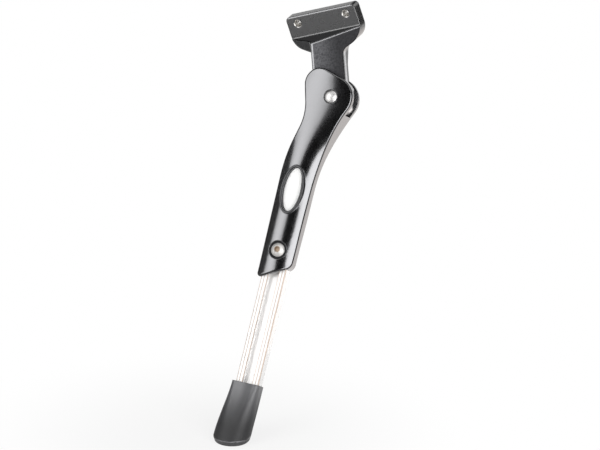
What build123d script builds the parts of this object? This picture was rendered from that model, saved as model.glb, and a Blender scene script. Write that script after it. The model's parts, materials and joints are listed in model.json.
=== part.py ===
import os
from math import cos, radians, sin, tan

from build123d import *

# Stance on the bicycle, which heads towards -X and shows its left side to -Y
stay_slope = 19.0       # rise of the bolt plate towards the rear
splay = 27.0            # lean of the swing plane away from the bicycle
leg_rake = 4.5          # forward lean of the lowered leg in its swing plane
pivot_back = 20.1       # pivot centre behind, outside and below the mount centre
pivot_out = 32.4
pivot_down = 52.5

# Bolt plate
bolt_spacing = 40.0
bolt_tap_r = 2.5
bolt_mouth_r = 3.1
plate_length = 57.4
plate_above = 5.9       # top edge above the bolt line
plate_thickness = 9.0
plate_corner_r = 3.0
ledge_drop = 10.8       # foot of the flat front face below the bolt line
ledge_draft = 18.0
shoulder_drop = 18.5    # corner of the flared shoulder below the bolt line
shoulder_r = 11.5
root_drop = 25.2        # foot of the flare below the bolt line
web_rise = 2.0          # the left web ends higher than the right shoulder
web_slope = 25.0        # front of the left web, from the plate's end up to the neck
crease_drop = 15.3      # level crease between neck and facet, below the mount centre
facet_lean = 32.0       # facet above the neck, against upright
root_r = 6.0            # hollow under the right shoulder, and in the corner left of the neck
web_root_r = 3.0
plate_edge_r = 0.8
arch_edge_r = 0.9

# Neck and tongue, in a frame turned with the neck about the pivot
neck_lean = 19.0        # neck against the leg's own axis
neck_right = 10.0       # right side from the pivot, the left side is tangent to the tongue
neck_shoulder = 25.5    # where the neck starts to thicken backwards
neck_back_slope = 19.0
neck_top = 43.0
tongue_r = 15.1
tongue_thickness = 10.0
flat_r = 13.2           # detent flats from the pivot
neck_edge_r = 1.5

# Fits
cheek_gap = 0.2         # tongue to each cheek
turn_gap = 0.3          # tongue rim and neck sides to the slot
pin_gap = 0.05
slide_gap = 0.15        # leg in its socket, each side
plunger_gap = 0.05

# Motion
fold_angle = 113.0      # lowered to folded along the stay
leg_in = 25.0           # how far the leg slides in and out from where it stands
leg_out = 20.0

# Housing
leg_offset = 13.4       # leg axis in front of the pivot
tube_width = 26.6
head_r = 16.0
head_crest = 12.0       # height of the crowned front above the tongue's middle plane
head_edge_drop = 2.6
head_half = 20.5
head_shift = 4.5        # middle of the head in front of the pivot
tube_crest = 9.0
tube_edge_drop = 5.0
head_back = 9.8
head_back_rise = 0.4    # back of the head is near flat, and the tube's is crowned as its front is
tube_back = 8.6
tube_back_rise = 5.5
tube_draft = 0.7        # each side of the tube draws in towards its end
blend_length = 62.0     # head form runs out into the tube form over this length
crown_overhang = 3.0    # crown sections run past the outline by this much
crown_stations = 8
flank_lean = 24.0
flank_r = 160.0         # as far as the straight flank leaves room for it
flank_straight = 0.2    # left of the straight flank below the head
head_top_slope = 16.5
head_corner_r = 11.5
waist_forward = 16.5    # waist of the left flank, in front of and below the pivot
waist_down = 16.5
waist_lean = 17.0
waist_r = 35.0
hip_r = 95.0
tube_end = 142.4        # long side of the slanted end below the pivot
end_slant = 26.0
end_heel_r = 6.5
end_toe_r = 2.6
front_edge_r = 1.5
back_edge_r = 1.6

# Pivot pin
pin_r = 4.0
pin_head_r = 4.7
pin_dome = 1.6
pin_seat_r = 5.1
pin_seat_depth = 0.5

# Detent
plunger_lean = 12.6     # plunger bore against the leg axis
plunger_r = 4.45
plunger_length = 12.0
plunger_chamfer = 0.8
spring_length = 16.0
spring_wire_r = 0.6
spring_wire_sides = 5
spring_r = 3.3
spring_turns = 5

# Badge in its raised bezel
badge_down = 73.0
badge_length = 33.0
badge_width = 13.4
badge_thickness = 0.9
badge_edge = 0.3
badge_gap = 0.05
bezel_width = 2.5
bezel_proud = 0.3       # above the crest of the tube
bezel_draft = 8.0
badge_floor = 6.5       # floor of the recess above the leg's middle plane

# Clamp screw and nut, an M6 button head on a thin square nut
clamp_up = 23.4         # screw above the end of the tube
screw_r = 3.0
screw_head_r = 5.2
screw_head_height = 3.2
screw_socket = 4.0      # across flats
screw_socket_depth = 2.0
screw_brim = 0.5        # upright edge under the dome
screw_gap = 0.25
thread_gap = 0.03
spot_face_r = 7.0
spot_face = 7.3         # height above the leg's middle plane
nut_width = 10.0
nut_thickness = 3.2
nut_gap = 0.2
lip_gap = 0.1           # nut to the lips of the leg's T-slot

# Leg
leg_width = 18.0
leg_thickness = 9.0
leg_corner_r = 0.8
leg_grip = 19.0         # leg left above the screw when it is drawn right out
leg_bottom = 250.0      # end of the leg below the pivot, measured along it
channel_width = 8.0
lip_thickness = 2.0
rib_groove = 0.6
rib_groove_depth = 0.35

# Foot
foot_grip = 30.0        # length of leg inside it
foot_wall = 2.1
foot_front_wall = 3.2
foot_back_wall = 1.6
foot_forward = 0.6      # middle of the sleeve in front of the leg
foot_corner_r = 3.6
foot_stations = 7
sole_down = 284.2       # ground below the mount centre
sole_length = 27.6
sole_width = 28.8       # across the bicycle
sole_corner_r = 13.6
sole_forward = 1.6      # middle of the sole in front of the leg, and outside it
sole_out = 5.8
sole_rim = 4.2
sole_draft = 18.0       # rim drawn in towards the ground
sole_edge_r = 2.0


def swing_axes():
    """Directions of the swing plane: across the leg, and out of the plane away from the bicycle."""
    lean, rake = radians(splay), radians(leg_rake)
    outward = Vector(0, -cos(lean), sin(lean))
    across_leg = Vector(cos(rake), -sin(lean) * sin(rake), -cos(lean) * sin(rake))
    return across_leg, outward


def meet(p, p_angle, q, q_angle):
    """Crossing of the line through p at p_angle and the line through q at q_angle."""
    px, py = cos(radians(p_angle)), sin(radians(p_angle))
    qx, qy = cos(radians(q_angle)), sin(radians(q_angle))
    along = ((q[0] - p[0]) * qy - (q[1] - p[1]) * qx) / (px * qy - py * qx)
    return p[0] + along * px, p[1] + along * py


def ease(run):
    """Smooth rise from 0 to 1, level at both ends."""
    return run * run * (3 - 2 * run)


def polar(radius, angle):
    return radius * cos(radians(angle)), radius * sin(radians(angle))


# Frames: the bolt plate, the swing plane of the leg, and the neck turned in that plane
slope = radians(stay_slope)
mount = Plane(origin=(0, 0, 0), x_dir=(cos(slope), 0, sin(slope)), z_dir=(0, -1, 0))
across_leg, outward = swing_axes()
swing = Plane(origin=(pivot_back, -pivot_out, -pivot_down), x_dir=across_leg, z_dir=outward)
lean = radians(neck_lean)
neck = Plane(swing.origin, x_dir=swing.x_dir * cos(lean) + swing.y_dir * sin(lean), z_dir=swing.z_dir)
pivot_axis = Axis(swing.origin, swing.z_dir)


def across(down, forward=0.0):
    """Plane square to the leg, this far below the pivot: x across the leg, y outwards."""
    return Plane(swing.from_local_coords((-forward, -down, 0)), x_dir=swing.x_dir, z_dir=-swing.y_dir)


def plunger_plane(distance):
    """Plane square to the plunger bore, this far from the pivot."""
    way = swing.from_local_coords((*polar(1, 270 - plunger_lean), 0)) - swing.origin
    return Plane(swing.origin + way * distance, x_dir=swing.z_dir, z_dir=way)


# Mounting bracket
plate_half = plate_length / 2
plate_front = mount.offset(plate_thickness)
neck_front = neck.offset(tongue_thickness / 2)
neck_depth = tongue_thickness / 2 + (neck_top - neck_shoulder) * tan(radians(neck_back_slope))


def leaning(frame, point, towards, angle):
    """Plane through a point of the frame, its normal leaned from the frame's own towards a direction."""
    turn = radians(angle)
    normal = frame.z_dir * cos(turn) + towards * sin(turn)
    return Plane(frame.from_local_coords(point), x_dir=towards.cross(frame.z_dir), z_dir=normal)


neck_back = leaning(neck, (0, neck_shoulder, -tongue_thickness / 2), neck.y_dir, neck_back_slope)
ledge = leaning(plate_front, (0, -ledge_drop, 0), plate_front.y_dir, 90 - ledge_draft)
web_face = leaning(plate_front, (-plate_half, 0, 0), -plate_front.x_dir, web_slope)
up_neck = Vector(0, sin(radians(splay)), cos(radians(splay)))
crease = neck_front.origin - up_neck * ((crease_drop + neck_front.origin.Z) / up_neck.Z)
facet = Plane(crease, x_dir=(1, 0, 0), z_dir=(0, -cos(radians(facet_lean)), sin(radians(facet_lean))))


def plate_outline():
    """Outline of the bolt plate and the flare below it, seen from the front."""
    with BuildSketch(mount) as outline:
        with BuildLine():
            Polyline((-plate_half, plate_above), (plate_half, plate_above), (plate_half, -shoulder_drop),
                     (neck_right, -root_drop), (-neck_right, web_rise - root_drop),
                     (-plate_half, web_rise - shoulder_drop), close=True)
        make_face()
        for side, drop in ((-plate_half, shoulder_drop - web_rise), (plate_half, shoulder_drop)):
            fillet(outline.vertices().sort_by_distance((side, plate_above))[0], plate_corner_r)
            fillet(outline.vertices().sort_by_distance((side, -drop))[0], shoulder_r)
    return outline.sketch


with BuildPart() as beside_neck:
    with BuildSketch(neck.offset(-plate_length)):
        with Locations((-tongue_r, 0)):
            Rectangle(plate_length, 2 * plate_length, align=(Align.MAX, Align.MIN))
    extrude(amount=2 * plate_length)
    split(bisect_by=web_face, keep=Keep.TOP)

with BuildPart() as flare:
    extrude(plate_outline(), amount=3 * plate_thickness)
    with BuildSketch(neck.offset(-neck_depth)):
        with Locations((-tongue_r, neck_shoulder)):
            Rectangle(tongue_r + neck_right, neck_top - neck_shoulder, align=(Align.MIN, Align.MIN))
    extrude(amount=neck_depth + tongue_thickness / 2)
    split(bisect_by=ledge, keep=Keep.BOTTOM)
    split(bisect_by=facet, keep=Keep.BOTTOM)
    split(bisect_by=neck_front, keep=Keep.BOTTOM)
    add(beside_neck.part, mode=Mode.SUBTRACT)

with BuildPart() as mount_bracket:
    extrude(plate_outline(), amount=plate_thickness)
    add(flare.part)
    split(bisect_by=neck_back, keep=Keep.TOP)
    with BuildSketch(neck.offset(-tongue_thickness / 2)):
        Circle(tongue_r)
        with Locations((-tongue_r, 0)):
            Rectangle(tongue_r + neck_right, neck_shoulder, align=(Align.MIN, Align.MIN))
    extrude(amount=tongue_thickness)
    # Roundings of the casting: hollows beside the neck, then the edges that show
    across_neck = Axis(neck.origin, neck.x_dir)
    neck_side = mount_bracket.faces().filter_by(across_neck).sort_by(across_neck)[-1]
    fillet(neck_side.edges().filter_by(Edge.is_interior).filter_by(pivot_axis, reverse=True), root_r)
    neck_side = mount_bracket.faces().filter_by(across_neck).sort_by(across_neck)[0]
    fillet(neck_side.edges().filter_by(Edge.is_interior).filter_by(pivot_axis, reverse=True), web_root_r)
    neck_side = mount_bracket.faces().filter_by(across_neck).sort_by(across_neck)[0]
    fillet(neck_side.edges().sort_by(SortBy.LENGTH)[-1], neck_edge_r)
    arch_place = plate_front.from_local_coords((plate_half / 2, -ledge_drop, plate_thickness / 2))
    fillet(mount_bracket.edges().sort_by_distance(arch_place)[0], arch_edge_r)
    plate_face = mount_bracket.faces().filter_by(Axis.Y).sort_by(Axis.Y)[0]
    fillet(plate_face.edges().filter_by(Edge.is_interior, reverse=True), plate_edge_r)
    with BuildSketch(swing.offset(-tongue_thickness / 2)):
        flat_depth = 2 * (tongue_r - flat_r)
        for turned in (0, fold_angle):
            way = 270 - plunger_lean + turned
            with Locations(Location((*polar(flat_r + flat_depth / 2, way), 0), (0, 0, way))):
                Rectangle(flat_depth, 2 * tongue_r)
    extrude(amount=tongue_thickness, mode=Mode.SUBTRACT)
    with Locations(swing):
        Hole(pin_r + pin_gap)
    with Locations(plate_front):
        with GridLocations(bolt_spacing, 1, 2, 1):
            CounterSinkHole(bolt_tap_r, bolt_mouth_r, counter_sink_angle=90)

# Housing: outline in the swing plane, crowned front and flat back from sections across the leg
tube_right = tube_width / 2 - leg_offset
tube_left = -tube_width / 2 - leg_offset
flank_touch = polar(head_r, -flank_lean)
top_touch = polar(head_r, 90 - head_top_slope)
waist = (-waist_forward, -waist_down)
left_side = ((tube_left, -badge_down), 90 + tube_draft)
right_side = ((tube_right, -badge_down), 90 - tube_draft)
end_toe = meet(*left_side, (0, -tube_end), 0)
end_heel = meet(*right_side, end_toe, end_slant)
hip = meet(*left_side, waist, 90 - waist_lean)
flank = meet(*right_side, flank_touch, 90 - flank_lean)
head_right = meet(flank_touch, 90 - flank_lean, top_touch, -head_top_slope)
head_left = meet(top_touch, -head_top_slope, waist, 90 + waist_lean)
flank_room = (Vector(*flank_touch) - Vector(*flank)).length - flank_straight
flank_bend = min(flank_r, flank_room / tan(radians(flank_lean - tube_draft) / 2))
rounded_corners = ((end_heel, end_heel_r), (flank, flank_bend), (head_right, head_r),
                   (head_left, head_corner_r), (waist, waist_r), (hip, hip_r), (end_toe, end_toe_r))


def head_share(down):
    """How much of the section is head and not tube: 1 at the pivot, easing to 0 along the blend."""
    return ease(min(max(1 - down / blend_length, 0), 1))


def crown_section(down):
    """Section across the housing blank, wider than the outline: an arched front over an arched back."""
    share = head_share(down)
    middle = -leg_offset + (leg_offset - head_shift) * share
    outline_half = tube_width / 2 + (head_half - tube_width / 2) * share
    half = outline_half + crown_overhang
    fall = (half / outline_half)**2
    crest = tube_crest + (head_crest - tube_crest) * share
    edge = crest - fall * (tube_edge_drop + (head_edge_drop - tube_edge_drop) * share)
    back = -tube_back - (head_back - tube_back) * share
    back_edge = back + fall * (tube_back_rise + (head_back_rise - tube_back_rise) * share)
    with BuildSketch(across(down)) as section:
        with BuildLine():
            ThreePointArc((middle - half, edge), (middle, crest), (middle + half, edge))
            Line((middle + half, edge), (middle + half, back_edge))
            ThreePointArc((middle + half, back_edge), (middle, back), (middle - half, back_edge))
            Line((middle - half, back_edge), (middle - half, edge))
        make_face()
    return section.sketch


bore_depth = tongue_r + turn_gap + plunger_length + spring_length
clamp_down = tube_end - clamp_up
leg_top = clamp_down - leg_grip - leg_out

with BuildPart() as housing:
    stations = [station / (crown_stations - 1) for station in range(crown_stations)]
    loft([crown_section(-2 * head_r + share * (tube_end + 3 * head_r)) for share in stations])
    with BuildSketch(swing.offset(-2 * head_back)) as outline:
        with BuildLine():
            Polyline(*[corner for corner, radius in rounded_corners], close=True)
        make_face()
        for corner, radius in rounded_corners:
            fillet(outline.vertices().sort_by_distance(corner)[0], radius)
    extrude(amount=2 * head_back + 2 * head_crest, mode=Mode.INTERSECT)
    back, front = housing.faces().filter_by(GeomType.BSPLINE).sort_by(pivot_axis)
    fillet(front.edges(), front_edge_r)
    fillet(back.edges(), back_edge_r)
    # Slot for the tongue: a stop wall on the left, a round floor, and a stop floor for the folded neck
    slot_half = tongue_thickness / 2 + cheek_gap
    slot_r = tongue_r + turn_gap
    stop_way = neck_lean - fold_angle
    stop_foot = polar(neck_right + turn_gap, stop_way)
    left_foot = polar(slot_r, 180 + neck_lean)
    reach = 3 * head_r
    with BuildSketch(swing.offset(-slot_half)):
        Circle(slot_r)
        with BuildLine():
            up = polar(reach, 90 + neck_lean)
            side = polar(reach, 90 + stop_way)
            Polyline((0, 0), left_foot, (left_foot[0] + up[0], left_foot[1] + up[1]), (reach, reach),
                     (stop_foot[0] + side[0], stop_foot[1] + side[1]), stop_foot, close=True)
        make_face()
    extrude(amount=2 * slot_half, mode=Mode.SUBTRACT)
    # Pivot bore with a seat for each head of the rivet
    with Locations(swing):
        Hole(pin_r)
    pin_front = head_crest - pin_seat_depth
    pin_back = pin_seat_depth - head_back
    with BuildSketch(swing.offset(pin_front)):
        Circle(pin_seat_r)
    extrude(amount=head_crest, mode=Mode.SUBTRACT)
    with BuildSketch(swing.offset(pin_back)):
        Circle(pin_seat_r)
    extrude(amount=-head_back, mode=Mode.SUBTRACT)
    # Plunger bore, blind from the slot
    with BuildSketch(plunger_plane(tongue_r - plunger_r)):
        Circle(plunger_r + plunger_gap)
    extrude(amount=bore_depth - tongue_r + plunger_r, mode=Mode.SUBTRACT)
    # Socket for the leg, from the slanted end up to the sliding leg's highest place
    with BuildSketch(across(leg_top - leg_in - slide_gap, leg_offset)):
        RectangleRounded(leg_width + 2 * slide_gap, leg_thickness + 2 * slide_gap, leg_corner_r)
    extrude(amount=tube_end, mode=Mode.SUBTRACT)
    # Raised bezel with the badge's recess
    badge_place = Plane(swing.from_local_coords((-leg_offset, -badge_down, badge_floor)), x_dir=swing.x_dir,
                        z_dir=swing.z_dir)
    bezel_height = tube_crest + bezel_proud - badge_floor
    with BuildSketch(badge_place):
        Ellipse(badge_width / 2 + bezel_width, badge_length / 2 + bezel_width)
    extrude(amount=bezel_height, taper=bezel_draft)
    with BuildSketch(badge_place):
        Ellipse(badge_width / 2 + badge_gap, badge_length / 2 + badge_gap)
    extrude(amount=2 * bezel_height, mode=Mode.SUBTRACT)
    # Spot face and hole of the clamp screw
    screw_place = Plane(swing.from_local_coords((-leg_offset, -clamp_down, spot_face)), x_dir=swing.x_dir,
                        z_dir=swing.z_dir)
    with BuildSketch(screw_place):
        Circle(spot_face_r)
    extrude(amount=tube_crest, mode=Mode.SUBTRACT)
    with BuildSketch(screw_place):
        Circle(screw_r + screw_gap)
    extrude(amount=-spot_face, mode=Mode.SUBTRACT)

# Rivet, domed at both ends
with BuildPart() as pivot_pin:
    with BuildSketch(across(0)):
        with BuildLine():
            TangentArc((0, pin_front + pin_dome), (pin_head_r, pin_front), tangent=(1, 0))
            Polyline((pin_head_r, pin_front), (pin_r, pin_front), (pin_r, pin_back), (pin_head_r, pin_back))
            TangentArc((0, pin_back - pin_dome), (pin_head_r, pin_back), tangent=(1, 0))
            Line((0, pin_back - pin_dome), (0, pin_front + pin_dome))
        make_face()
    revolve(axis=pivot_axis)

# Detent: plunger drawn just clear of the tongue's rim, and its spring down to the bore's end
plunger_face = tongue_r + turn_gap
with BuildPart() as detent_plunger:
    with BuildSketch(plunger_plane(plunger_face)):
        Circle(plunger_r)
    extrude(amount=plunger_length)
    chamfer(detent_plunger.edges().sort_by(Axis(swing.origin, plunger_plane(0).z_dir))[0], plunger_chamfer)

with BuildPart() as detent_spring:
    spring_start = plunger_plane(plunger_face + plunger_length + spring_wire_r)
    spring_pitch = (spring_length - 2 * spring_wire_r) / spring_turns
    with BuildLine():
        coil = Helix(spring_pitch, spring_pitch * spring_turns, spring_r, center=spring_start.origin,
                     direction=spring_start.z_dir)
    with BuildSketch(Plane(coil @ 0, z_dir=coil % 0)):
        RegularPolygon(spring_wire_r, spring_wire_sides)
    sweep(path=coil, is_frenet=True)

# Badge: a thin oval plate on the recess floor
with BuildPart() as badge:
    with BuildSketch(badge_place):
        Ellipse(badge_width / 2, badge_length / 2)
    extrude(amount=badge_thickness)
    chamfer(badge.faces().sort_by(pivot_axis)[-1].edges(), badge_edge)

# Clamp screw and its square nut under the lips of the leg
nut_face = leg_thickness / 2 - lip_thickness - lip_gap
screw_crown = spot_face + screw_head_height
with BuildPart() as clamp_screw:
    with BuildSketch(across(clamp_down, leg_offset)):
        with BuildLine():
            Polyline((0, screw_crown), (0, nut_face - nut_thickness), (screw_r, nut_face - nut_thickness),
                     (screw_r, spot_face), (screw_head_r, spot_face), (screw_head_r, spot_face + screw_brim))
            TangentArc((0, screw_crown), (screw_head_r, spot_face + screw_brim), tangent=(1, 0))
        make_face()
    revolve(axis=Axis(screw_place.origin, swing.z_dir))
    with BuildSketch(screw_place.offset(screw_head_height)):
        RegularPolygon(screw_socket / 2, 6, major_radius=False)
    extrude(amount=-screw_socket_depth, mode=Mode.SUBTRACT)

with BuildPart() as clamp_nut:
    nut_place = screw_place.offset(nut_face - spot_face)
    with BuildSketch(nut_place):
        Rectangle(nut_width, nut_width)
        Circle(screw_r + thread_gap, mode=Mode.SUBTRACT)
    extrude(amount=-nut_thickness)

# Leg: an extrusion with a T-slot for the nut and a fine groove along each rib
with BuildPart() as leg:
    front_of_leg = leg_thickness / 2
    with BuildSketch(across(leg_top, leg_offset)):
        RectangleRounded(leg_width, leg_thickness, leg_corner_r)
        with Locations((0, front_of_leg)):
            Rectangle(channel_width, 2 * lip_thickness, mode=Mode.SUBTRACT)
        with Locations((0, front_of_leg - lip_thickness)):
            Rectangle(nut_width + 2 * nut_gap, nut_thickness + 2 * nut_gap, align=(Align.CENTER, Align.MAX),
                      mode=Mode.SUBTRACT)
        rib_middle = (leg_width + channel_width) / 4
        with Locations((-rib_middle, front_of_leg), (rib_middle, front_of_leg)):
            Rectangle(rib_groove, 2 * rib_groove_depth, mode=Mode.SUBTRACT)
    extrude(amount=leg_bottom - leg_top)

# Foot: a rubber sleeve round the leg that eases into a level sole
foot_top = leg_bottom - foot_grip
sleeve_wide = leg_width + 2 * foot_wall
sleeve_deep = leg_thickness + foot_front_wall + foot_back_wall
sleeve_start = across(foot_top, leg_offset)
to_rim = (sole_rim - sole_down - sleeve_start.origin.Z) / sleeve_start.z_dir.Z
sleeve_shift = -swing.x_dir * foot_forward + swing.z_dir * ((foot_front_wall - foot_back_wall) / 2)
sole_shift = Vector(-sole_forward, -sole_out, 0)


def foot_section(run):
    """Section of the foot this share of the way down from its top to the rim."""
    share = ease(run)
    middle = sleeve_start.origin + sleeve_start.z_dir * (to_rim * run)
    middle += sleeve_shift * (1 - share) + sole_shift * share
    down = sleeve_start.z_dir * (1 - share) - Vector(0, 0, 1) * share
    rearward = sleeve_start.x_dir * (1 - share) + Vector(1, 0, 0) * share
    with BuildSketch(Plane(middle, x_dir=rearward, z_dir=down)) as section:
        RectangleRounded(sleeve_wide + (sole_length - sleeve_wide) * share,
                         sleeve_deep + (sole_width - sleeve_deep) * share,
                         foot_corner_r + (sole_corner_r - foot_corner_r) * share)
    return section.sketch


foot_sections = [foot_section(station / (foot_stations - 1)) for station in range(foot_stations)]

with BuildPart() as foot:
    loft(foot_sections)
    extrude(foot_sections[-1], amount=sole_rim, taper=sole_draft, dir=(0, 0, -1))
    fillet(foot.faces().sort_by(Axis.Z)[0].edges(), sole_edge_r)
    with BuildSketch(sleeve_start):
        RectangleRounded(leg_width, leg_thickness, leg_corner_r)
    extrude(amount=foot_grip, mode=Mode.SUBTRACT)

os.makedirs("parts", exist_ok=True)
pieces = {
    "mount_bracket": mount_bracket, "housing": housing, "pivot_pin": pivot_pin,
    "detent_plunger": detent_plunger, "detent_spring": detent_spring, "badge": badge,
    "clamp_screw": clamp_screw, "clamp_nut": clamp_nut, "leg": leg, "foot": foot,
}
for name, piece in pieces.items():
    piece.part.label = name
    export_step(piece.part, f"parts/{name}.step")
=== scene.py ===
import json
from math import cos, pi, radians, sin, tan

import bpy
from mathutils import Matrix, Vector


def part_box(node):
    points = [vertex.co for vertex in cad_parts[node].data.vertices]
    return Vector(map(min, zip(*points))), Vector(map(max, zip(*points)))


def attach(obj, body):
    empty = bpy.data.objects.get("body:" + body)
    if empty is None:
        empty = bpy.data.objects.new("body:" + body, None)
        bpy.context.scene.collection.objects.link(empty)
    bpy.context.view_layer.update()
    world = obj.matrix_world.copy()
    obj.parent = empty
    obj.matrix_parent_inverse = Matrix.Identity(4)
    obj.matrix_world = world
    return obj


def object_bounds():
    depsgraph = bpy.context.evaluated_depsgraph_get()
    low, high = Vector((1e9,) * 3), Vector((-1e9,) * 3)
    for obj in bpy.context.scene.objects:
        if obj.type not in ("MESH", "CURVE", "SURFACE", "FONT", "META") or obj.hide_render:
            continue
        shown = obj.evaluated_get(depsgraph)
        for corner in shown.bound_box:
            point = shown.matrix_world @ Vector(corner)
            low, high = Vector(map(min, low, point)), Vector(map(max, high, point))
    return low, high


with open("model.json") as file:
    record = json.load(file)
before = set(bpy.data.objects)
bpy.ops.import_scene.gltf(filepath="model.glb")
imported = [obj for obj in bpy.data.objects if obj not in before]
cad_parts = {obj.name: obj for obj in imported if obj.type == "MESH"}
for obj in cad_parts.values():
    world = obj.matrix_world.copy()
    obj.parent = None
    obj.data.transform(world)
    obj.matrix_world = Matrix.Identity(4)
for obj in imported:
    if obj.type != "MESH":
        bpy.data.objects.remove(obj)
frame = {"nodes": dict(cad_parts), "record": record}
cad_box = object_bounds()
nodes = frame["nodes"]
joints = {joint["name"]: joint for joint in frame["record"]["behaviour"]["joints"]}

MM = 0.001
UP = Vector((0, 0, 1))
ORIGIN = Vector()

# Stand: pivot, outward normal of the swing plane, and the directions up the leg and across it to the rear
PIVOT = Vector(joints["fold"]["pos_m"])
OUTWARD = Vector(joints["fold"]["axis"]).normalized()
UP_LEG = -Vector(joints["length"]["axis"]).normalized()
ACROSS = UP_LEG.cross(OUTWARD)
LEG_AXIS = PIVOT - ACROSS * 13.4 * MM

# Sizes of the stand: DOWN and BOTTOM from the pivot along the leg, TOP and FACE from the swing plane
RIVET_HEAD_RADIUS = 4.7 * MM
LEG_HALF_WIDTH = 9 * MM
LEG_HALF_DEPTH = 4.5 * MM
LEG_GROOVE = 6.5 * MM
LEG_LIP = 4 * MM
LEG_BOTTOM = 250 * MM
BADGE_DOWN = 73 * MM
BEZEL_HALF_WIDTH = 6.75 * MM
BEZEL_HALF_LENGTH = 16.55 * MM
BEZEL_TOP = 9.3 * MM
SCREW_DOWN = 119 * MM
SCREW_HEAD_RADIUS = 5.2 * MM
SOCKET_HALF_WIDTH = 2 * MM
SPOT_FACE = 7.3 * MM
SOLE_RIM = 4.2 * MM

# Bracket: bolt plate with its ledge, facet below the ledge, and neck down to the pivot
STAY_SLOPE = radians(19)
PLATE_ALONG = Vector((cos(STAY_SLOPE), 0, sin(STAY_SLOPE)))
PLATE_UP = Vector((-sin(STAY_SLOPE), 0, cos(STAY_SLOPE)))
PLATE_OUT = Vector((0, -1, 0))
PLATE_FRONT = 9 * MM
PLATE_ABOVE = 5.9 * MM
HOLE_SPACING = 40 * MM
HOLE_MOUTH_RADIUS = 3.1 * MM
HOLES = [PLATE_ALONG * (side * HOLE_SPACING / 2) for side in (-1, 1)]
LEDGE_DROP = 10.8 * MM
LEDGE_DRAFT = radians(18)
LEDGE = PLATE_OUT * sin(LEDGE_DRAFT) + PLATE_UP * cos(LEDGE_DRAFT)
LEDGE_CORNER = PLATE_OUT * PLATE_FRONT - PLATE_UP * LEDGE_DROP
FACET_LEAN = radians(32)
FACET = Vector((0, -cos(FACET_LEAN), sin(FACET_LEAN)))
CREASE = Vector((PIVOT.x, -19.1 * MM, -15.3 * MM))
NECK_LEAN = radians(19)
ACROSS_NECK = ACROSS * cos(NECK_LEAN) + UP_LEG * sin(NECK_LEAN)
NECK_LEFT = -15.1 * MM
NECK_RIGHT = 10 * MM
NECK_FRONT = 5 * MM
FLANK_TOP = -19 * MM

# Studio: middle of the object, level of the floor, and directions behind and ahead of the object
STAGE_MIDDLE = (cad_box[0] + cad_box[1]) / 2
FLOOR = cad_box[0].z
FLOOR_WIDTH = 12.0
BEHIND = Vector((0.375, 0.927, 0))
AHEAD = Vector((-0.358, -0.934, 0))

# The photograph's view: direction, width of the picture at the object and its middle
IMAGE_WIDTH = 0.4442
AZIMUTH = radians(21)
ELEVATION = radians(21)
CAMERA_DISTANCE = 10.0
SENSOR = 36.0
VIEW_RIGHT = Vector((cos(AZIMUTH), sin(AZIMUTH), 0))
VIEW_BACK = Vector((sin(AZIMUTH) * cos(ELEVATION), -cos(AZIMUTH) * cos(ELEVATION), sin(ELEVATION)))
VIEW_UP = VIEW_BACK.cross(VIEW_RIGHT)
VIEW_MIDDLE = PLATE_OUT * PLATE_FRONT - VIEW_RIGHT * 16.0 * MM - VIEW_UP * 152.8 * MM


# Node helpers

def new_material(name):
    material = bpy.data.materials.new(name)
    material.use_nodes = True
    tree = material.node_tree
    return material, tree, tree.nodes["Principled BSDF"]


def add(tree, kind, inputs=None, **settings):
    """Adds a node; inputs maps a socket's name or number to a value or to another node's output."""
    node = tree.nodes.new(kind)
    for key, value in settings.items():
        setattr(node, key, value)
    for key, value in (inputs or {}).items():
        if isinstance(value, bpy.types.NodeSocket):
            tree.links.new(value, node.inputs[key])
        else:
            node.inputs[key].default_value = value
    return node


def link(tree, output, node, socket):
    tree.links.new(output, node.inputs[socket])


def set_inputs(shader, **values):
    for key, value in values.items():
        shader.inputs[key.replace("_", " ")].default_value = value


def math(tree, operation, first, second=0.0):
    return add(tree, "ShaderNodeMath", {0: first, 1: second}, operation=operation).outputs[0]


def product(tree, first, *others):
    for other in others:
        first = math(tree, "MULTIPLY", first, other)
    return first


def largest(tree, first, *others):
    for other in others:
        first = math(tree, "MAXIMUM", first, other)
    return first


def inverse(tree, share):
    return math(tree, "SUBTRACT", 1.0, share)


def vector_math(tree, operation, first, second=ORIGIN):
    return add(tree, "ShaderNodeVectorMath", {0: first, 1: second}, operation=operation)


def ramp(tree, value, low, high):
    """0 below low, 1 above high, smooth between."""
    node = add(tree, "ShaderNodeMapRange", {"Value": value, "From Min": low, "From Max": high},
               interpolation_type="SMOOTHSTEP")
    return node.outputs["Result"]


def close_to(tree, value, middle, half, soft):
    """1 where a value is within half of middle, falling to 0 over soft."""
    off = math(tree, "ABSOLUTE", math(tree, "SUBTRACT", value, middle))
    return inverse(tree, ramp(tree, off, half, half + soft))


def mix_colour(tree, share, first, second):
    return add(tree, "ShaderNodeMix", {0: share, 6: first, 7: second}, data_type="RGBA").outputs[2]


def mix_value(tree, share, first, second):
    return add(tree, "ShaderNodeMix", {0: share, 2: first, 3: second}, data_type="FLOAT").outputs[0]


def mix_shaders(tree, share, first, second):
    return add(tree, "ShaderNodeMixShader", {0: share, 1: first, 2: second}).outputs[0]


def place(tree):
    return add(tree, "ShaderNodeTexCoord").outputs["Object"]


def along(tree, direction, origin):
    """Distance in metres along a direction from a point of the object."""
    from_origin = vector_math(tree, "SUBTRACT", place(tree), origin).outputs[0]
    return vector_math(tree, "DOT_PRODUCT", from_origin, direction).outputs[1]


def off_axis(tree, direction, origin):
    """Distance in metres from a line."""
    from_origin = vector_math(tree, "SUBTRACT", place(tree), origin).outputs[0]
    turned = vector_math(tree, "CROSS_PRODUCT", from_origin, direction).outputs[0]
    return vector_math(tree, "LENGTH", turned).outputs[1]


def faces_along(tree, direction):
    """Cosine between the surface's own normal and a direction of the object."""
    normal = add(tree, "ShaderNodeTexCoord").outputs["Normal"]
    return vector_math(tree, "DOT_PRODUCT", normal, direction).outputs[1]


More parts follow.
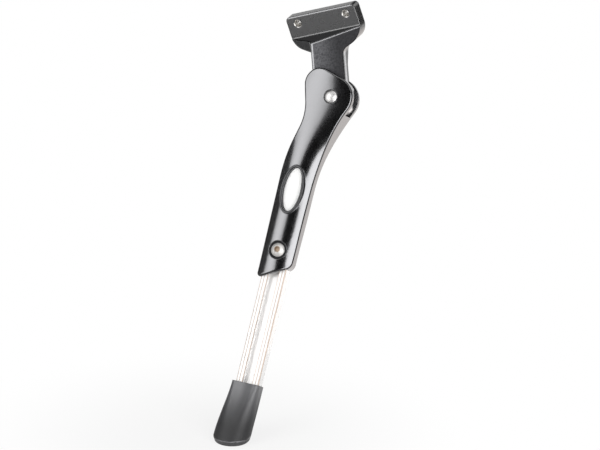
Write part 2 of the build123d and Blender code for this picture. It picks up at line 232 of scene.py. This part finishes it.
def noise(tree, size, detail=3.0, stretch=None, left_out=0.985):
    """Noise with features of about this size in metres; most of the distance along stretch is left out."""
    where = place(tree)
    if stretch is not None:
        run = product(tree, along(tree, stretch, ORIGIN), -left_out)
        shift = add(tree, "ShaderNodeVectorMath", {0: stretch, 3: run}, operation="SCALE").outputs[0]
        where = vector_math(tree, "ADD", where, shift).outputs[0]
    inputs = {"Vector": where, "Scale": 1 / size, "Detail": detail}
    return add(tree, "ShaderNodeTexNoise", inputs).outputs[0]


def rounded_edges(tree, radius):
    return add(tree, "ShaderNodeBevel", {"Radius": radius}, samples=6).outputs[0]


def relief(tree, shader, height, depth, edge=None):
    """Bump of a depth in metres, on edges that look rounded to a radius."""
    inputs = {"Height": height, "Distance": depth, "Strength": 1.0}
    if edge is not None:
        inputs["Normal"] = rounded_edges(tree, edge)
    link(tree, add(tree, "ShaderNodeBump", inputs).outputs[0], shader, "Normal")


def clouded(tree, shader, size, first, second):
    link(tree, mix_colour(tree, noise(tree, size), first, second), shader, "Base Color")


def patchy(tree, shader, size, first, second):
    link(tree, mix_value(tree, noise(tree, size), first, second), shader, "Roughness")


# Materials

def housing_coat():
    """Black nickel under lacquer with a faint ripple and plain black behind; painted shade in black on the
    rounded front edges and round the rivet.
    """
    material, tree, shader = new_material("housing_coat")
    cloud = noise(tree, 30 * MM)
    outward = faces_along(tree, OUTWARD)
    # Painted shade: a black band on the rounded front edges.
    painted_edge_shade = close_to(tree, outward, 0.44, 0.3, 0.08)
    from_rivet = off_axis(tree, OUTWARD, PIVOT)
    # Painted shadow: a dark ring round the rivet's head.
    painted_rivet_shade = close_to(tree, from_rivet, RIVET_HEAD_RADIUS - 0.1 * MM, 0.6 * MM, 0.25 * MM)
    away_from_back = ramp(tree, outward, -0.6, -0.25)
    plated = product(tree, away_from_back, inverse(tree, largest(tree, painted_rivet_shade, painted_edge_shade)))
    nickel = mix_colour(tree, cloud, (0.175, 0.175, 0.180, 1), (0.205, 0.205, 0.211, 1))
    black = mix_colour(tree, cloud, (0.006, 0.006, 0.007, 1), (0.011, 0.011, 0.013, 1))
    link(tree, mix_colour(tree, plated, black, nickel), shader, "Base Color")
    link(tree, plated, shader, "Metallic")
    patchy(tree, shader, 6 * MM, 0.15, 0.22)
    set_inputs(shader, Coat_Weight=0.4, Coat_Roughness=0.05)
    relief(tree, shader, noise(tree, 2.2 * MM, 1.0), 0.003 * MM, edge=0.75 * MM)
    return material


def in_holes(tree):
    """1 in the two tapped holes and on their mouths."""
    distance = math(tree, "MINIMUM", *[off_axis(tree, PLATE_OUT, hole) for hole in HOLES])
    return inverse(tree, ramp(tree, distance, HOLE_MOUTH_RADIUS - 0.15 * MM, HOLE_MOUTH_RADIUS))


def blasted_front(tree, to_side, before_plate):
    """1 on the front of the neck and on the facet above its crease, short of the neck's left edge."""
    inside = ramp(tree, to_side, NECK_LEFT + 1.7 * MM, NECK_LEFT + 2.4 * MM)
    fronts = [ramp(tree, along(tree, facing, CREASE), -0.3 * MM, -0.1 * MM) for facing in (OUTWARD, FACET)]
    return product(tree, largest(tree, *fronts), before_plate, inside)


def painted_edge_highlights(tree, to_side, before_plate, above_ledge):
    """Painted highlights: 1 on the top of the plate's face, the arch of ledge and facet, and the neck's
    left front edge.
    """
    plate_front = ramp(tree, along(tree, PLATE_OUT, ORIGIN), PLATE_FRONT - 0.8 * MM, PLATE_FRONT - 0.4 * MM)
    top = close_to(tree, along(tree, PLATE_UP, ORIGIN), PLATE_ABOVE - 0.45 * MM, 0.3 * MM, 0.3 * MM)
    near_ledge = close_to(tree, above_ledge, 0, 0.45 * MM, 0.25 * MM)
    near_facet = close_to(tree, along(tree, FACET, CREASE), 0, 0.45 * MM, 0.25 * MM)
    left = close_to(tree, to_side, NECK_LEFT + 1.4 * MM, 0.5 * MM, 0.4 * MM)
    neck_front = ramp(tree, along(tree, OUTWARD, PIVOT), NECK_FRONT - 0.9 * MM, NECK_FRONT - 0.5 * MM)
    top_edge = product(tree, top, plate_front)
    arch = product(tree, near_ledge, near_facet, before_plate)
    left_edge = product(tree, left, neck_front)
    return largest(tree, top_edge, arch, left_edge)


def painted_flank_highlight(tree, to_side):
    """Painted highlight: 1 on a strip down the neck's right side."""
    below_plate = inverse(tree, ramp(tree, along(tree, UP, ORIGIN), FLANK_TOP - 2 * MM, FLANK_TOP))
    right = ramp(tree, to_side, NECK_RIGHT - 0.4 * MM, NECK_RIGHT - 0.2 * MM)
    strip = close_to(tree, along(tree, OUTWARD, PIVOT), 0.8 * MM, 1.8 * MM, 0.5 * MM)
    return product(tree, below_plate, right, strip)


def bracket_coat():
    """Satin black coat on a forging, with a blasted front painted lighter to its left, painted highlights
    on edges and down the neck's right side, and bare tapped holes.
    """
    material, tree, shader = new_material("bracket_coat")
    grit = noise(tree, 1.3 * MM, 6.0)
    fine = noise(tree, 0.5 * MM, 4.0)
    to_side = along(tree, ACROSS_NECK, PIVOT)
    outward = along(tree, PLATE_OUT, ORIGIN)
    before_plate = ramp(tree, outward, PLATE_FRONT + 0.4 * MM, PLATE_FRONT + 0.9 * MM)
    above_ledge = along(tree, LEDGE, LEDGE_CORNER)
    on_ledge = product(tree, close_to(tree, above_ledge, 0, 0.2 * MM, 0.2 * MM), before_plate)
    bare = in_holes(tree)
    blasted = blasted_front(tree, to_side, before_plate)
    flank_highlight = painted_flank_highlight(tree, to_side)
    edges = painted_edge_highlights(tree, to_side, before_plate, above_ledge)
    edges = product(tree, edges, mix_value(tree, fine, 0.55, 0.95))
    painted_highlight = largest(tree, edges, product(tree, flank_highlight, 0.9))

    # Painted light: the neck's blasted front is lighter towards its left.
    painted_light_leftward = inverse(tree, ramp(tree, to_side, NECK_LEFT, NECK_RIGHT - 1 * MM))
    tone = mix_colour(tree, painted_light_leftward, (0.021, 0.021, 0.024, 1), (0.110, 0.110, 0.117, 1))
    shadow = mix_colour(tree, painted_light_leftward, (0.009, 0.009, 0.011, 1), (0.048, 0.048, 0.053, 1))
    grainy = mix_colour(tree, ramp(tree, grit, 0.32, 0.62), shadow, tone)
    coat = mix_colour(tree, fine, (0.009, 0.009, 0.010, 1), (0.015, 0.015, 0.017, 1))
    coat = mix_colour(tree, blasted, coat, grainy)
    coat = mix_colour(tree, on_ledge, coat, (0.035, 0.035, 0.037, 1))
    # Painted highlights: light metal colour on the edge lines and the strip down the neck's right side.
    painted_light_tone = mix_colour(tree, fine, (0.26, 0.26, 0.27, 1), (0.42, 0.42, 0.43, 1))
    painted_light_tone = mix_colour(tree, flank_highlight, painted_light_tone, (0.66, 0.66, 0.67, 1))
    metal = mix_colour(tree, noise(tree, 1.5 * MM), (0.62, 0.6, 0.57, 1), (0.85, 0.84, 0.82, 1))
    link(tree, mix_colour(tree, bare, mix_colour(tree, painted_highlight, coat, painted_light_tone), metal), shader, "Base Color")

    metallic = largest(tree, bare, painted_highlight, product(tree, blasted, 0.85), on_ledge)
    link(tree, metallic, shader, "Metallic")
    rough = mix_value(tree, noise(tree, 4 * MM), 0.24, 0.32)
    rough = mix_value(tree, blasted, rough, 0.42)
    rough = mix_value(tree, on_ledge, rough, 0.12)
    link(tree, mix_value(tree, largest(tree, bare, painted_highlight), rough, 0.22), shader, "Roughness")
    set_inputs(shader, IOR=1.9, Specular_IOR_Level=0.75)
    grain = product(tree, grit, mix_value(tree, blasted, 0.04, 0.44))
    relief(tree, shader, grain, 0.15 * MM, edge=1.1 * MM)
    return material


def bright_steel():
    """Bright turned steel, peened a little."""
    material, tree, shader = new_material("bright_steel")
    clouded(tree, shader, 2 * MM, (0.74, 0.73, 0.72, 1), (0.92, 0.91, 0.9, 1))
    patchy(tree, shader, 1 * MM, 0.4, 0.52)
    set_inputs(shader, Metallic=1.0)
    relief(tree, shader, noise(tree, 0.5 * MM), 0.02 * MM, edge=0.2 * MM)
    return material


def plated_steel():
    """Zinc plated steel, stained in the key socket."""
    material, tree, shader = new_material("plated_steel")
    low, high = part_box("clamp_screw")
    from_middle = off_axis(tree, OUTWARD, (low + high) / 2)
    in_socket = inverse(tree, ramp(tree, from_middle, SOCKET_HALF_WIDTH, SOCKET_HALF_WIDTH + 0.5 * MM))
    silver = mix_colour(tree, noise(tree, 1.2 * MM), (0.76, 0.74, 0.71, 1), (0.9, 0.89, 0.87, 1))
    stain = mix_colour(tree, noise(tree, 0.6 * MM), (0.20, 0.12, 0.06, 1), (0.42, 0.28, 0.16, 1))
    link(tree, mix_colour(tree, product(tree, in_socket, 0.85), silver, stain), shader, "Base Color")
    patchy(tree, shader, 0.8 * MM, 0.45, 0.58)
    set_inputs(shader, Metallic=0.7)
    relief(tree, shader, noise(tree, 0.3 * MM), 0.012 * MM, edge=0.25 * MM)
    return material


def badge_white():
    """Gloss white enamel."""
    material, tree, shader = new_material("badge_white")
    clouded(tree, shader, 5 * MM, (0.84, 0.84, 0.83, 1), (0.9, 0.9, 0.89, 1))
    patchy(tree, shader, 3 * MM, 0.18, 0.26)
    set_inputs(shader, Coat_Weight=0.4, Coat_Roughness=0.06)
    relief(tree, shader, noise(tree, 1.5 * MM), 0.004 * MM, edge=0.15 * MM)
    return material


def leg_aluminium():
    """Bright drawn aluminium with fine lines; painted shade in brown lines on front edges and grooves, and
    painted light that makes the surfaces behind them paler.
    """
    material, tree, shader = new_material("leg_aluminium")
    lines = noise(tree, 0.8 * MM, 2.0, stretch=UP_LEG)
    streaks = noise(tree, 1.5 * MM, 3.0, stretch=UP_LEG)
    from_middle = math(tree, "ABSOLUTE", along(tree, ACROSS, LEG_AXIS))
    edge = close_to(tree, from_middle, LEG_HALF_WIDTH, 0.6 * MM, 0.3 * MM)
    groove = close_to(tree, from_middle, LEG_GROOVE, 0.25 * MM, 0.2 * MM)
    lip = close_to(tree, from_middle, LEG_LIP, 0.3 * MM, 0.3 * MM)
    depth = along(tree, OUTWARD, PIVOT)
    at_front = ramp(tree, depth, LEG_HALF_DEPTH - 1.2 * MM, LEG_HALF_DEPTH - 0.6 * MM)
    behind_front = inverse(tree, ramp(tree, depth, LEG_HALF_DEPTH - 0.6 * MM, LEG_HALF_DEPTH - 0.2 * MM))
    # Painted shade: brown lines along the outer edges, the grooves and the channel's lips.
    painted_shade_lines = largest(tree, edge, product(tree, groove, 0.7), lip)
    painted_shade_lines = product(tree, painted_shade_lines, mix_value(tree, at_front, 0.05, 0.9))
    bright = mix_colour(tree, lines, (0.90, 0.89, 0.88, 1), (0.96, 0.955, 0.95, 1))
    # Painted light: surfaces behind the front are paler, lifting the shade in the channel.
    bright = mix_colour(tree, behind_front, bright, (1.0, 0.995, 0.99, 1))
    painted_shade_colour = mix_colour(tree, streaks, (0.50, 0.38, 0.30, 1), (0.66, 0.54, 0.45, 1))
    link(tree, mix_colour(tree, painted_shade_lines, bright, painted_shade_colour), shader, "Base Color")
    link(tree, mix_value(tree, behind_front, 0.35, 0.3), shader, "Metallic")
    link(tree, mix_value(tree, behind_front, mix_value(tree, lines, 0.34, 0.46), 0.26), shader, "Roughness")
    relief(tree, shader, product(tree, lines, inverse(tree, behind_front)), 0.006 * MM, edge=0.25 * MM)
    return material


def foot_rubber():
    """Moulded rubber; painted highlights in two places and on a line along the top of its rim, painted
    shade near the ground, and the rim painted lighter than that shade.
    """
    material, tree, shader = new_material("foot_rubber")
    low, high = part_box("foot")
    rim_top = low.z + SOLE_RIM
    height = along(tree, UP, ORIGIN)
    across = along(tree, ACROSS, LEG_AXIS)
    cloud = noise(tree, 9 * MM)
    upper = ramp(tree, height, low.z + 10 * MM, high.z - 2 * MM)
    rim = inverse(tree, ramp(tree, height, rim_top - 0.4 * MM, rim_top))
    # Painted highlight: a broken bright line along the top of the rim.
    rim_top_line = close_to(tree, height, rim_top, 0.3 * MM, 0.3 * MM)
    painted_highlight = product(tree, rim_top_line, ramp(tree, noise(tree, 7 * MM), 0.38, 0.6))
    # Painted highlights: two lighter bands on the upper foot.
    left_painted_highlight = product(tree, close_to(tree, across, -5 * MM, 1.5 * MM, 6 * MM), upper)
    right_painted_highlight = close_to(tree, across, 8.5 * MM, 0.8 * MM, 3 * MM)
    # Painted light and shade: the upper foot lighter, the lower foot darker, and the rim lighter than the
    # lower foot.
    smooth = mix_colour(tree, cloud, (0.060, 0.060, 0.065, 1), (0.080, 0.080, 0.086, 1))
    smooth = mix_colour(tree, largest(tree, left_painted_highlight, right_painted_highlight), smooth, (0.165, 0.165, 0.172, 1))
    painted_shade_low = mix_colour(tree, cloud, (0.011, 0.011, 0.012, 1), (0.018, 0.018, 0.020, 1))
    painted_light_tone = mix_colour(tree, cloud, (0.034, 0.034, 0.036, 1), (0.048, 0.048, 0.051, 1))
    body = mix_colour(tree, rim, mix_colour(tree, upper, painted_shade_low, smooth), painted_light_tone)
    link(tree, mix_colour(tree, painted_highlight, body, (0.17, 0.17, 0.18, 1)), shader, "Base Color")
    rough = mix_value(tree, upper, mix_value(tree, noise(tree, 2 * MM), 0.55, 0.65), 0.36)
    link(tree, mix_value(tree, rim_top_line, rough, 0.25), shader, "Roughness")
    set_inputs(shader, IOR=1.6, Specular_IOR_Level=0.5)
    relief(tree, shader, noise(tree, 0.35 * MM, 2.0), 0.02 * MM, edge=0.8 * MM)
    return material


def trim_black():
    """Gloss black lacquer of the badge's bezel."""
    material, tree, shader = new_material("trim_black")
    clouded(tree, shader, 4 * MM, (0.024, 0.024, 0.026, 1), (0.034, 0.034, 0.037, 1))
    patchy(tree, shader, 3 * MM, 0.16, 0.24)
    set_inputs(shader, IOR=1.6)
    relief(tree, shader, noise(tree, 1.5 * MM, 1.0), 0.003 * MM)
    return material


def painted_shade_black():
    """Painted shade: a dark finish for the sheet on the floor of the clamp screw's recess."""
    material, tree, shader = new_material("painted_shade_black")
    clouded(tree, shader, 0.8 * MM, (0.006, 0.006, 0.007, 1), (0.016, 0.016, 0.018, 1))
    patchy(tree, shader, 1 * MM, 0.5, 0.7)
    set_inputs(shader, Specular_IOR_Level=0.3)
    relief(tree, shader, noise(tree, 0.4 * MM), 0.02 * MM, edge=0.1 * MM)
    return material


MAKERS = (housing_coat, bracket_coat, bright_steel, plated_steel, badge_white, leg_aluminium, foot_rubber,
          trim_black, painted_shade_black)
finishes = {make.__name__: make() for make in MAKERS}
for subpart in frame["record"]["subparts"]:
    mesh = nodes[subpart["node"]].data
    mesh.materials.clear()
    mesh.materials.append(finishes[subpart["material_slot"]])


# Added pieces

def make_piece(name, points, faces, body, finish):
    """A smooth mesh that rides on a body."""
    mesh = bpy.data.meshes.new(name)
    mesh.from_pydata(points, [], faces)
    mesh.shade_smooth()
    mesh.materials.append(finishes[finish])
    piece = bpy.data.objects.new(name, mesh)
    bpy.context.scene.collection.objects.link(piece)
    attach(piece, body)


def grid_faces(rows, columns, closed):
    """Quads between rows of points, with the last row joined to the first if the rows close a ring."""
    faces = []
    for row in range(rows if closed else rows - 1):
        this = row * columns
        following = (row + 1) % rows * columns
        faces += [(this + column, this + column + 1, following + column + 1, following + column)
                  for column in range(columns - 1)]
    return faces


def oval_ring(name, centre, half_width, half_length, profile, turns, finish):
    """A ring round an oval on the housing's front: the profile is pairs of outward offset and height."""
    points = []
    for step in range(turns):
        angle = 2 * pi * step / turns
        rim = Vector((half_width * cos(angle), half_length * sin(angle)))
        away = Vector((half_length * cos(angle), half_width * sin(angle))).normalized()
        for offset, height in profile:
            spot = rim + away * offset
            points.append(centre + ACROSS * spot.x + UP_LEG * spot.y + OUTWARD * height)
    make_piece(name, points, grid_faces(turns, len(profile), True), "stand", finish)


def bezel_crown(width, crown, sunk, steps=12):
    """Rounded top on the bezel of the badge, with skirts sunk into the housing."""
    turns = [pi * step / steps for step in range(steps + 1)]
    arch = [(width * (1 - cos(turn)) / 2, crown * sin(turn)) for turn in turns]
    profile = [(-0.01 * MM, -sunk)] + arch + [(width + 0.06 * MM, -sunk)]
    centre = LEG_AXIS - UP_LEG * BADGE_DOWN + OUTWARD * (BEZEL_TOP - 0.01 * MM)
    oval_ring("bezel_crown", centre, BEZEL_HALF_WIDTH, BEZEL_HALF_LENGTH, profile, 96, "trim_black")


def painted_recess_shade():
    """Painted shade: a dark sheet round the clamp screw's head, just above the spot face and turned up at
    its wall.
    """
    profile = [(0, 0), (1.6 * MM, 0), (1.85 * MM, 0.1 * MM), (1.97 * MM, 0.3 * MM)]
    centre = LEG_AXIS - UP_LEG * SCREW_DOWN + OUTWARD * (SPOT_FACE + 0.03 * MM)
    under_head = SCREW_HEAD_RADIUS - 0.2 * MM
    oval_ring("painted_recess_shade", centre, under_head, under_head, profile, 64, "painted_shade_black")


def heel_skin(wall, base, radius, length, steps=6):
    """Skin of the foot where the leg's lower corners come close to its surface: a sleeve closed below."""
    bottom = -LEG_BOTTOM - base
    turns = [radians(90) * step / steps for step in range(1, steps + 1)]
    profile = [(bottom + radius * (1 - cos(turn)), radius * sin(turn)) for turn in turns]
    profile.append((bottom + length, radius))
    points = []
    for quarter, (side, front) in enumerate([(1, 1), (-1, 1), (-1, -1), (1, -1)]):
        across = side * (LEG_HALF_WIDTH + wall - radius)
        out = front * (LEG_HALF_DEPTH + wall - radius)
        for step in range(steps + 1):
            angle = radians(90) * (quarter + step / steps)
            for height, spread in profile:
                points.append(LEG_AXIS + ACROSS * (across + spread * cos(angle))
                              + OUTWARD * (out + spread * sin(angle)) + UP_LEG * height)
    columns = len(profile)
    rows = len(points) // columns
    faces = grid_faces(rows, columns, True) + [tuple(row * columns for row in range(rows))]
    make_piece("heel_skin", points, faces, "leg", "foot_rubber")


def ledge_rounding(radius, start, end, steps=8):
    """Rounding in the corner between the bolt plate and its ledge."""
    sweep = radians(90) - LEDGE_DRAFT
    centre = LEDGE_CORNER + PLATE_OUT * radius + PLATE_UP * radius * tan(sweep / 2)
    points = []
    for run in (start, end):
        for step in range(steps + 1):
            turn = sweep * step / steps
            inward = PLATE_OUT * cos(turn) + PLATE_UP * sin(turn)
            points.append(centre + PLATE_ALONG * run - inward * radius)
    faces = grid_faces(2, steps + 1, False)
    make_piece("ledge_rounding", points, faces, "bracket", "bracket_coat")


def bolt_thread(name, hole, radius, crest, pitch, start, turns, steps=28):
    """Thread of a tapped hole, begun in front of the plate's back; heights on its ridge are in pitches."""
    ridge = ((0, -0.42), (crest, -0.08), (crest, 0.08), (0, 0.42))
    points = []
    for step in range(turns * steps + 1):
        angle = 2 * pi * step / steps
        way = PLATE_ALONG * cos(angle) + PLATE_UP * sin(angle)
        middle = hole + PLATE_OUT * (start + pitch * step / steps)
        for inset, height in ridge:
            points.append(middle + way * (radius - inset) + PLATE_OUT * (height * pitch))
    faces = grid_faces(turns * steps + 1, len(ridge), False)
    make_piece(name, points, faces, "bracket", "bracket_coat")


bezel_crown(width=2.1 * MM, crown=0.55 * MM, sunk=0.4 * MM)
painted_recess_shade()
heel_skin(wall=0.7 * MM, base=0.6 * MM, radius=1.8 * MM, length=14.6 * MM)
ledge_rounding(radius=0.9 * MM, start=-26.9 * MM, end=28.2 * MM)
for number, hole in enumerate(HOLES):
    bolt_thread(f"bolt_thread_{number + 1}", hole, radius=2.51 * MM, crest=0.32 * MM, pitch=1.0 * MM,
                start=0.6 * MM, turns=7)


# Studio

def white_to_camera(tree):
    """1 for rays that show the background: from the camera, from gloss and through glass."""
    path = add(tree, "ShaderNodeLightPath")
    return largest(tree, *[path.outputs[f"Is {kind} Ray"] for kind in ("Camera", "Glossy", "Transmission")])


def make_plane(name, centre, facing, width, height, upward=UP):
    """A rectangle; width runs level and height along upward, as near as the facing lets it."""
    facing = Vector(facing).normalized()
    side = upward.cross(facing).normalized()
    rise = facing.cross(side)
    corners = [centre + side * (x * width / 2) + rise * (y * height / 2)
               for x, y in ((-1, -1), (1, -1), (1, 1), (-1, 1))]
    mesh = bpy.data.meshes.new(name)
    mesh.from_pydata(corners, [], [(0, 1, 2, 3)])
    plane = bpy.data.objects.new(name, mesh)
    bpy.context.scene.collection.objects.link(plane)
    return plane


def floor_white(near, far, shaded):
    """Glowing white for the camera, with a share of plain white near the foot that takes its shadow."""
    material, tree, shader = new_material("floor_white")
    set_inputs(shader, Base_Color=(0.9, 0.9, 0.9, 1), Roughness=0.9)
    glow = add(tree, "ShaderNodeEmission", {"Color": (1, 1, 1, 1), "Strength": 1.0})
    from_foot = off_axis(tree, UP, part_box("foot")[0])
    plain = product(tree, inverse(tree, ramp(tree, from_foot, near, far)), shaded)
    glowing = product(tree, white_to_camera(tree), inverse(tree, plain))
    both = mix_shaders(tree, glowing, shader.outputs[0], glow.outputs[0])
    link(tree, both, tree.nodes["Material Output"], "Surface")
    return material


def card_finish(name, shade):
    """Matt card of a shade of grey, a little uneven."""
    material, tree, shader = new_material(name)
    dark, light = [(shade * share,) * 3 + (1,) for share in (0.8, 1.2)]
    clouded(tree, shader, 0.2, dark, light)
    set_inputs(shader, Roughness=1.0)
    return material


def softbox_glow(name, centre, side, width, radiance, edge, tint):
    """Light from the front of a panel, dimmed to a share of edge at its sides."""
    material, tree, shader = new_material(name)
    tree.nodes.remove(shader)
    off_middle = product(tree, along(tree, side, centre), 2 / width)
    dimmed = mix_value(tree, product(tree, off_middle, off_middle), radiance, radiance * edge)
    back = add(tree, "ShaderNodeNewGeometry").outputs["Backfacing"]
    strength = product(tree, dimmed, inverse(tree, back))
    glow = add(tree, "ShaderNodeEmission", {"Color": tint + (1,), "Strength": strength})
    link(tree, glow.outputs[0], tree.nodes["Material Output"], "Surface")
    return material


def make_softbox(name, centre, facing, upward, width, height, radiance, edge=1.0, tint=(1.0, 1.0, 1.0)):
    """A lit panel that shines along facing."""
    box = make_plane(name, centre, facing, width, height, upward)
    side = upward.cross(facing).normalized()
    box.data.materials.append(softbox_glow(name, centre, side, width, radiance, edge, tint))
    box.visible_camera = False
    box.visible_shadow = False
    box.visible_transmission = False


def make_world(fill_strength):
    """A dim white fill, and plain white where the background is seen."""
    world = bpy.data.worlds.new("studio")
    bpy.context.scene.world = world
    world.use_nodes = True
    tree = world.node_tree
    fill = tree.nodes["Background"]
    set_inputs(fill, Color=(1, 1, 1, 1), Strength=fill_strength)
    white = add(tree, "ShaderNodeBackground", {"Color": (1, 1, 1, 1), "Strength": 1.0})
    both = mix_shaders(tree, white_to_camera(tree), fill.outputs[0], white.outputs[0])
    link(tree, both, tree.nodes["World Output"], "Surface")


def make_card(name, centre, facing, width, height, finish, upward):
    """A card that only mirrors see."""
    card = make_plane(name, centre, facing, width, height, upward)
    card.data.materials.append(finish)
    card.visible_camera = False
    card.visible_diffuse = False
    card.visible_shadow = False
    card.visible_transmission = False


def between(first, last, distance):
    """Direction midway between two angles round the leg, in degrees from straight outward to the rear,
    and the width that fills them at a distance."""
    turn = radians((first + last) / 2)
    width = 2 * distance * tan(radians(last - first) / 2)
    return (OUTWARD * cos(turn) + ACROSS * sin(turn)).normalized(), width


def softbox_between(name, first, last, distance, height, radiance, edge):
    """A softbox along the leg that fills the directions between two angles round it."""
    facing, width = between(first, last, distance)
    make_softbox(name, STAGE_MIDDLE + facing * distance, -facing, UP_LEG, width, height, radiance, edge)


def card_between(name, first, last, height, finish, distance=1.6):
    """A card along the leg that fills the directions between two angles round it."""
    facing, width = between(first, last, distance)
    make_card(name, STAGE_MIDDLE + facing * distance, -facing, width, height, finish, UP_LEG)


def card_towards(name, facing, distance, width, height, finish):
    """A card in a direction from the object."""
    facing = Vector(facing).normalized()
    make_card(name, STAGE_MIDDLE + facing * distance, -facing, width, height, finish, UP)


def card_on_floor(name, distance, length, finish, width=1.6):
    """A card that lies just above the floor, at a distance ahead of the foot."""
    foot_front = Vector((-15 * MM, -165 * MM, FLOOR + 2 * MM))
    make_card(name, foot_front + AHEAD * distance, UP, width, length, finish, AHEAD)


black_card = card_finish("black_card", 0.012)
grey_card = card_finish("grey_card", 0.4)
make_world(fill_strength=0.15)
floor_middle = Vector((STAGE_MIDDLE.x, STAGE_MIDDLE.y, FLOOR))
floor = make_plane("floor", floor_middle, UP, FLOOR_WIDTH, FLOOR_WIDTH, upward=Vector((0, 1, 0)))
floor.data.materials.append(floor_white(near=0.02, far=0.20, shaded=0.18))
softbox_between("softbox_left", -56, -13, distance=0.9, height=1.2, radiance=2.8, edge=0.5)
softbox_between("softbox_right", 27, 62, distance=0.9, height=0.9, radiance=4.0, edge=0.8)
low_centre = Vector((0, -66 * MM, FLOOR + 5 * MM)) + BEHIND * 0.42
make_softbox("low_panel", low_centre, UP, BEHIND, width=0.7, height=0.7, radiance=1.4,
             tint=(1.0, 0.95, 0.92))
card_between("card_front", -30, 42, height=3.0, finish=black_card)
card_between("card_right", 52, 130, height=3.0, finish=black_card)
card_between("card_left", -138, -54, height=1.3, finish=grey_card)
card_towards("card_top", (-0.52, 0.42, 0.74), distance=1.8, width=3.6, height=2.4, finish=black_card)
card_towards("card_back", (0.484, 0.872, -0.03), distance=1.6, width=1.0, height=0.6, finish=black_card)
card_on_floor("floor_card_near", distance=0.25, length=0.4, finish=black_card)
card_on_floor("floor_card_far", distance=0.95, length=1.0, finish=grey_card)

# Camera
camera_data = bpy.data.cameras.new("camera")
camera_data.sensor_width = SENSOR
camera_data.lens = SENSOR * CAMERA_DISTANCE / IMAGE_WIDTH
camera_data.clip_end = 4 * CAMERA_DISTANCE
camera = bpy.data.objects.new("camera", camera_data)
bpy.context.scene.collection.objects.link(camera)
camera.location = VIEW_MIDDLE + VIEW_BACK * CAMERA_DISTANCE
camera.rotation_mode = "QUATERNION"
camera.rotation_quaternion = (-VIEW_BACK).to_track_quat("-Z", "Y")
bpy.context.scene.camera = camera
bpy.context.scene.view_settings.view_transform = "Standard"
